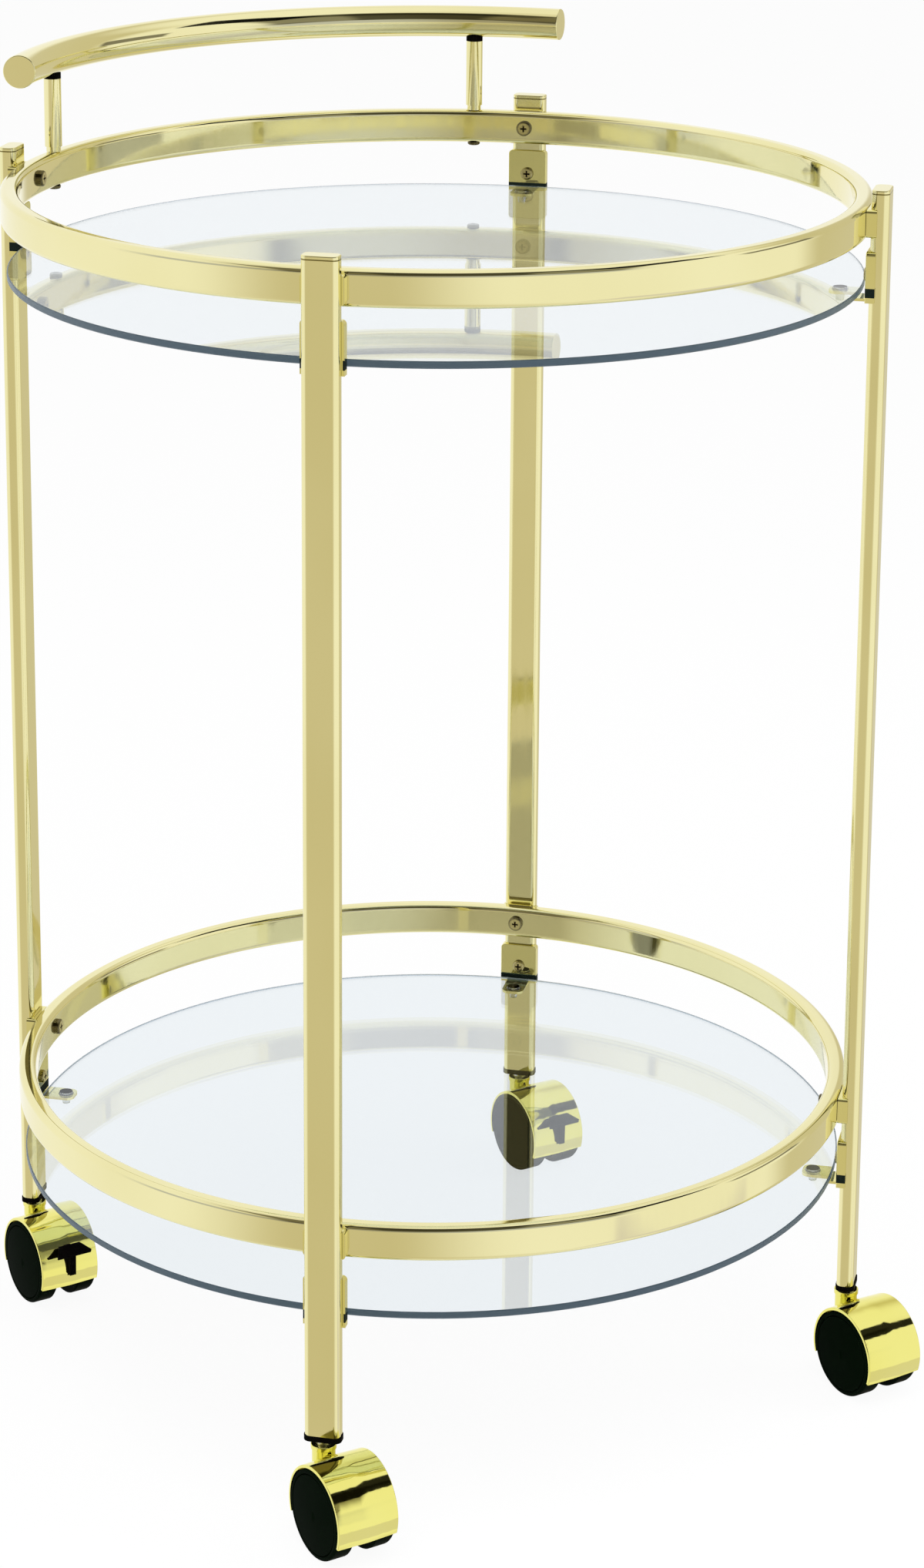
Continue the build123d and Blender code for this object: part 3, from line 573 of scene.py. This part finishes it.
class CART_OT_glaze_shelves(Operator):
    """Clear glass with a dark ground rim, and the clear bumpers and dark pads that hold it"""

    bl_idname = "cart.glaze_shelves"
    bl_label = "Glaze the Shelves"

    def glass(self, finish):
        """Clear pane with a faint haze, and a ground edge with a painted glow that stands in for light
        carried inside the pane.
        """
        material, tree, shader, place = new_material("clear_shelf_glass")
        shader.inputs["Transmission Weight"].default_value = 1.0
        shader.inputs["IOR"].default_value = 1.6
        shader.inputs["Specular Tint"].default_value = (*finish.glass_gleam, 1)
        link = tree.links.new
        flat = add_node(tree, "ShaderNodeMapping", Scale=(1.0, 1.0, 0.0))
        reach = add_node(tree, "ShaderNodeVectorMath", operation="LENGTH")
        rim = add_node(
            tree, "ShaderNodeMapRange",
            **{"From Min": glass_radius - GROUND_START, "From Max": glass_radius - GROUND_FULL},
        )
        tint = add_node(tree, "ShaderNodeMix", data_type="RGBA")
        tint.inputs[COLOR_A].default_value = (*finish.glass, 1)
        tint.inputs[COLOR_B].default_value = (*finish.glass_rim, 1)
        smudge = add_node(tree, "ShaderNodeTexNoise", Scale=14.0, Detail=3.0)
        haze = add_node(tree, "ShaderNodeMapRange", **{"From Min": 0.5, "From Max": 0.9, "To Max": 0.03})
        # Painted glow: the ground edge emits this colour, standing in for light carried inside the pane
        piped = add_node(tree, "ShaderNodeMix", data_type="RGBA")
        piped.inputs[COLOR_A].default_value = (0, 0, 0, 1)
        piped.inputs[COLOR_B].default_value = (*finish.painted_edge_glow, 1)
        shader.inputs["Emission Strength"].default_value = 1.0
        link(place.outputs["Object"], flat.inputs["Vector"])
        link(flat.outputs["Vector"], reach.inputs[0])
        link(reach.outputs["Value"], rim.inputs["Value"])
        link(rim.outputs["Result"], tint.inputs["Factor"])
        link(tint.outputs[COLOR_MIX], shader.inputs["Base Color"])
        link(place.outputs["Object"], smudge.inputs["Vector"])
        link(smudge.outputs["Fac"], haze.inputs["Value"])
        ground = math_value(
            tree, "MULTIPLY_ADD", rim.outputs["Result"], GROUND_ROUGHNESS, haze.outputs["Result"]
        )
        link(ground, shader.inputs["Roughness"])
        link(rim.outputs["Result"], piped.inputs["Factor"])
        link(piped.outputs[COLOR_MIX], shader.inputs["Emission Color"])
        return material

    def bumper(self, finish):
        """Clear soft plastic with a little cloud in it."""
        material, tree, shader, place = new_material("clear_soft_bumper")
        shader.inputs["Transmission Weight"].default_value = 0.85
        shader.inputs["IOR"].default_value = 1.43
        cloud = add_node(tree, "ShaderNodeTexNoise", Scale=500.0, Detail=2.0)
        milk = add_node(tree, "ShaderNodeMix", data_type="RGBA")
        milk.inputs[COLOR_A].default_value = (*finish.bumper, 1)
        milk.inputs[COLOR_B].default_value = (*finish.bumper_deep, 1)
        frost = add_node(tree, "ShaderNodeMapRange", **{"To Min": 0.12, "To Max": 0.3})
        tree.links.new(place.outputs["Object"], cloud.inputs["Vector"])
        tree.links.new(cloud.outputs["Fac"], milk.inputs["Factor"])
        tree.links.new(milk.outputs[COLOR_MIX], shader.inputs["Base Color"])
        tree.links.new(cloud.outputs["Fac"], frost.inputs["Value"])
        tree.links.new(frost.outputs["Result"], shader.inputs["Roughness"])
        return material

    def execute(self, context):
        finish = context.scene.cart_finishes
        dress("clear_glass", self.glass(finish))
        dress("clear_bumper", self.bumper(finish))
        dress("edge_pad", moulded("dark_edge_pad", finish.pad, finish.pad_bloom))
        return {"FINISHED"}


class CART_OT_finish_casters(Operator):
    """Yellow gold hoods, black wheels and brakes, bright stems, black plugs and handle washers"""

    bl_idname = "cart.finish_casters"
    bl_label = "Finish the Casters"

    def execute(self, context):
        finish = context.scene.cart_finishes
        dress("hood_gold", plated("yellow_gold_hood", finish.hood, finish.hood_deep, gloss=(0.03, 0.08)))
        dress("bright_steel", plated("zinc_steel", finish.steel, finish.steel_deep, gloss=(0.15, 0.3)))
        dress("wheel_black", moulded("black_nylon_wheel", finish.wheel, finish.bloom))
        dress("brake_black", moulded("black_brake_lever", finish.plastic, finish.bloom))
        dress("black_plastic", moulded("black_plug_plastic", finish.plastic, finish.bloom))
        return {"FINISHED"}


def compass(azimuth, elevation):
    """Unit vector of a direction, with the azimuth counted from the cart's front to its right."""
    level = math.cos(elevation)
    return Vector((level * math.sin(azimuth), -level * math.cos(azimuth), math.sin(elevation)))


def dome_card_group():
    """What one soft-edged card hung in the dome leaves of the white behind it."""
    name = "dome_card"
    if name in bpy.data.node_groups:
        return bpy.data.node_groups[name]
    vectors = [(socket, "NodeSocketVector") for socket in ("Direction", "Facing", "Across", "Upright")]
    values = [(socket, "NodeSocketFloat") for socket in ("Half Width", "Half Height", "Softness")]
    colors = [(socket, "NodeSocketColor") for socket in ("Behind", "Card")]
    tree, given, result = new_group(name, vectors + values + colors, [("Color", "NodeSocketColor")])
    link = tree.links.new
    facing = add_node(tree, "ShaderNodeVectorMath", operation="DOT_PRODUCT")
    link(given.outputs["Direction"], facing.inputs[0])
    link(given.outputs["Facing"], facing.inputs[1])
    mask = math_value(tree, "GREATER_THAN", facing.outputs["Value"], 0)
    for axis, half in (("Across", "Half Width"), ("Upright", "Half Height")):
        reach = add_node(tree, "ShaderNodeVectorMath", operation="DOT_PRODUCT")
        edge = add_node(
            tree, "ShaderNodeMapRange", interpolation_type="SMOOTHSTEP", **{"To Min": 1.0, "To Max": 0.0}
        )
        end = math_value(tree, "ADD", given.outputs[half], given.outputs["Softness"])
        link(given.outputs["Direction"], reach.inputs[0])
        link(given.outputs[axis], reach.inputs[1])
        link(math_value(tree, "ABSOLUTE", reach.outputs["Value"]), edge.inputs["Value"])
        link(given.outputs[half], edge.inputs["From Min"])
        link(end, edge.inputs["From Max"])
        mask = math_value(tree, "MULTIPLY", mask, edge.outputs["Result"])
    hung = add_node(tree, "ShaderNodeMix", data_type="RGBA", blend_type="MULTIPLY")
    link(mask, hung.inputs["Factor"])
    link(given.outputs["Behind"], hung.inputs[COLOR_A])
    link(given.outputs["Card"], hung.inputs[COLOR_B])
    link(hung.outputs[COLOR_MIX], result.inputs["Color"])
    return tree


def ray_kinds(tree):
    """Two values: one for rays from the camera or through glass, and one for rays mirrored on the way."""
    path = tree.nodes.new("ShaderNodeLightPath")
    direct = math_value(
        tree, "MAXIMUM", path.outputs["Is Camera Ray"], path.outputs["Is Transmission Ray"]
    )
    mirrored = math_value(tree, "MINIMUM", path.outputs["Glossy Depth"], 1)
    return direct, mirrored


class CART_OT_set_stage(Operator):
    """White floor, white dome with dark cards that edge the metal, softboxes and the camera"""

    bl_idname = "cart.set_stage"
    bl_label = "Set the Stage"

    def floor(self, studio):
        """White floor that shows to the camera and carries the shadow, but not to mirrored rays."""
        bpy.ops.mesh.primitive_circle_add(
            vertices=FLOOR_SIDES, radius=studio.floor_radius, fill_type="NGON"
        )
        floor = bpy.context.object
        floor.name = "floor"
        material, tree, shader, _ = new_material("white_floor")
        shader.inputs["Base Color"].default_value = (*studio.floor_color, 1)
        shader.inputs["Roughness"].default_value = 0.9
        shader.inputs["Specular IOR Level"].default_value = 0.1
        white = add_node(tree, "ShaderNodeEmission", Strength=1.0)
        seen = tree.nodes.new("ShaderNodeMixShader")
        clear = tree.nodes.new("ShaderNodeBsdfTransparent")
        unmirrored = tree.nodes.new("ShaderNodeMixShader")
        output = next(n for n in tree.nodes if n.type == "OUTPUT_MATERIAL")
        direct, mirrored_ray = ray_kinds(tree)
        tree.links.new(math_value(tree, "MULTIPLY", direct, studio.floor_glow), seen.inputs["Fac"])
        tree.links.new(shader.outputs["BSDF"], seen.inputs[1])
        tree.links.new(white.outputs["Emission"], seen.inputs[2])
        tree.links.new(mirrored_ray, unmirrored.inputs["Fac"])
        tree.links.new(seen.outputs["Shader"], unmirrored.inputs[1])
        tree.links.new(clear.outputs["BSDF"], unmirrored.inputs[2])
        tree.links.new(unmirrored.outputs["Shader"], output.inputs["Surface"])
        floor.visible_glossy = False
        floor.data.materials.append(material)

    def dome(self, context, studio):
        """White world to the camera, the cards to mirrored rays and an even light to the rest."""
        world = bpy.data.worlds.new("studio_dome")
        world.use_nodes = True
        context.scene.world = world
        tree = world.node_tree
        link = tree.links.new
        ambient = next(n for n in tree.nodes if n.type == "BACKGROUND")
        ambient.inputs["Strength"].default_value = studio.dome_strength
        ambient.inputs["Color"].default_value = (1, 1, 1, 1)
        white = add_node(tree, "ShaderNodeBackground", Color=(1, 1, 1, 1), Strength=1.0)
        mirrored = add_node(tree, "ShaderNodeBackground", Strength=1.0)
        seen = tree.nodes.new("ShaderNodeMixShader")
        reflected = tree.nodes.new("ShaderNodeMixShader")
        output = next(n for n in tree.nodes if n.type == "OUTPUT_WORLD")
        direct, mirrored_ray = ray_kinds(tree)
        link(self.cards(tree, studio), mirrored.inputs["Color"])
        link(direct, seen.inputs["Fac"])
        link(ambient.outputs["Background"], seen.inputs[1])
        link(white.outputs["Background"], seen.inputs[2])
        link(mirrored_ray, reflected.inputs["Fac"])
        link(seen.outputs["Shader"], reflected.inputs[1])
        link(mirrored.outputs["Background"], reflected.inputs[2])
        link(reflected.outputs["Shader"], output.inputs["Surface"])

    def cards(self, tree, studio):
        """Colour of the dome as the metal mirrors it: white less every card."""
        place = tree.nodes.new("ShaderNodeTexCoord")
        behind = None
        for turn, rise, half_width, half_height, softness, color in DOME_CARDS:
            azimuth, elevation = studio.camera_azimuth + math.radians(turn), math.radians(rise)
            card = add_node(tree, "ShaderNodeGroup", node_tree=dome_card_group())
            card.inputs["Facing"].default_value = compass(azimuth, elevation)
            card.inputs["Across"].default_value = compass(azimuth + math.pi / 2, 0)
            card.inputs["Upright"].default_value = compass(azimuth, elevation + math.pi / 2)
            card.inputs["Half Width"].default_value = math.sin(math.radians(half_width))
            card.inputs["Half Height"].default_value = math.sin(math.radians(half_height))
            card.inputs["Softness"].default_value = math.sin(math.radians(softness))
            card.inputs["Card"].default_value = (*color, 1)
            card.inputs["Behind"].default_value = (1, 1, 1, 1)
            tree.links.new(place.outputs["Generated"], card.inputs["Direction"])
            if behind:
                tree.links.new(behind, card.inputs["Behind"])
            behind = card.outputs["Color"]
        return behind

    def softbox(self, name, place, size, power):
        """Square-cornered lamp aimed at the cart, which neither metal nor glass shows."""
        lamp = bpy.data.lights.new(name, "AREA")
        lamp.shape = "RECTANGLE"
        lamp.size, lamp.size_y = size
        lamp.energy = power
        obj = bpy.data.objects.new(name, lamp)
        obj.location = place
        obj.rotation_euler = (Vector(SOFTBOX_AIM) - Vector(place)).to_track_quat("-Z", "Y").to_euler()
        obj.visible_glossy = obj.visible_transmission = False
        bpy.context.scene.collection.objects.link(obj)

    def camera(self, context, studio):
        """Camera at the photograph's viewing angle."""
        azimuth, elevation, roll = studio.camera_azimuth, studio.camera_elevation, studio.camera_roll
        turn = Matrix.Rotation(azimuth, 4, "Z") @ Matrix.Rotation(math.pi / 2 - elevation, 4, "X")
        data = bpy.data.cameras.new("photo_camera")
        data.lens = studio.camera_lens
        data.sensor_width = SENSOR_LONG_SIDE
        data.shift_y = studio.camera_shift
        camera = bpy.data.objects.new("photo_camera", data)
        camera.matrix_world = Matrix.Translation(studio.camera_place) @ turn @ Matrix.Rotation(roll, 4, "Z")
        context.scene.collection.objects.link(camera)
        context.scene.camera = camera

    def execute(self, context):
        studio = context.scene.cart_studio
        bpy.ops.object.select_all(action="DESELECT")
        self.floor(studio)
        self.dome(context, studio)
        for name, (place, size, power) in SOFTBOXES.items():
            self.softbox(name, place, size, getattr(studio, power))
        self.camera(context, studio)
        context.scene.view_settings.view_transform = "Standard"
        return {"FINISHED"}


class CART_PT_sidebar(Panel):
    """The cart's operators, tube sizes, colours and studio values"""

    bl_idname = "CART_PT_sidebar"
    bl_label = "Round Bar Cart"
    bl_space_type = "VIEW_3D"
    bl_region_type = "UI"
    bl_category = "Cart"

    def draw(self, context):
        layout = self.layout
        for operator in operators:
            layout.operator(operator.bl_idname)
        for group in (context.scene.cart_tubes, context.scene.cart_finishes, context.scene.cart_studio):
            box = layout.box()
            for name in group.bl_rna.properties.keys():
                if name not in {"rna_type", "name"}:
                    box.prop(group, name)


operators = (
    CART_OT_plate_frame,
    CART_OT_bend_rails,
    CART_OT_bend_handle,
    CART_OT_glaze_shelves,
    CART_OT_finish_casters,
    CART_OT_polish_castings,
    CART_OT_set_stage,
)
classes = (CartTubes, CartFinishes, CartStudio, *operators, CART_PT_sidebar)


def register():
    for cls in classes:
        bpy.utils.register_class(cls)
    bpy.types.Scene.cart_tubes = PointerProperty(type=CartTubes)
    bpy.types.Scene.cart_finishes = PointerProperty(type=CartFinishes)
    bpy.types.Scene.cart_studio = PointerProperty(type=CartStudio)


def unregister():
    del bpy.types.Scene.cart_studio
    del bpy.types.Scene.cart_finishes
    del bpy.types.Scene.cart_tubes
    for cls in reversed(classes):
        bpy.utils.unregister_class(cls)


def main():
    register()
    bpy.ops.cart.plate_frame()
    bpy.ops.cart.bend_rails()
    bpy.ops.cart.bend_handle()
    bpy.ops.cart.glaze_shelves()
    bpy.ops.cart.finish_casters()
    bpy.ops.cart.polish_castings()
    bpy.ops.cart.set_stage()


if __name__ == "__main__":
    main()
